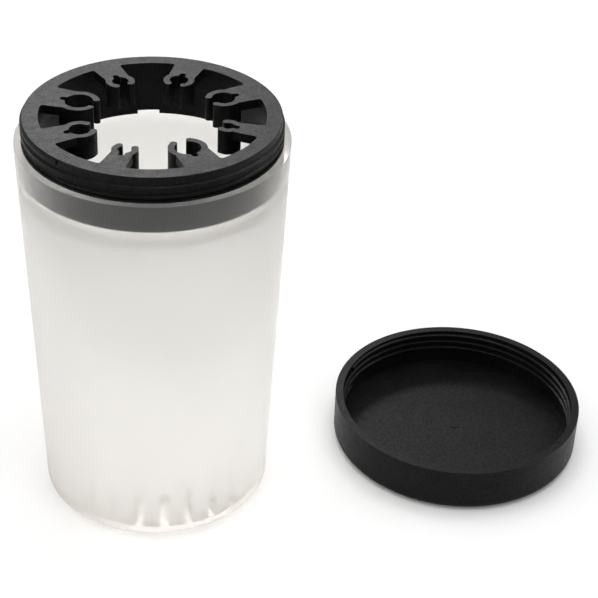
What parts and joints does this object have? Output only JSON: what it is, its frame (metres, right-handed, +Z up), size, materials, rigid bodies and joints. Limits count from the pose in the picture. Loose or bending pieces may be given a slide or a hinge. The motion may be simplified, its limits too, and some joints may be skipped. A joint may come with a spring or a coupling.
{
  "type": "brush washing cup",
  "caption": "Tapered translucent cup with a black plug-in collar of spring clips that hold small brushes, ribs inside the base, and a threaded lid lying upside down beside it.",
  "frame": {"origin": "centre of the cup's flat base, on the table", "axes": "+Z up along the cup's axis; +X towards the centre of the lid, which lies upside down beside the cup; the camera looks from about -Y"},
  "size_m": [0.1727, 0.0772, 0.1225],
  "materials": {
    "frosted_plastic": "milky translucent, glossy",
    "black_plastic": "satin, fine grained",
    "black_lid_plastic": "satin"
  },
  "bodies": {
    "cup": {"cup": "frosted_plastic"},
    "collar": {"collar": "black_plastic"},
    "lid": {"lid": "black_lid_plastic"}
  },
  "joints": [
    {"name": "collar_lift", "type": "slide", "parent": "cup", "child": "collar", "axis": [0, 0, 1], "range_m": [0, 0.012]},
    {"name": "lid_swing", "type": "hinge", "parent": "cup", "child": "lid", "pos_m": [0.04805, 0, 0.07075], "axis": [0, -1, 0], "range_deg": [0, 180]}
  ]
}
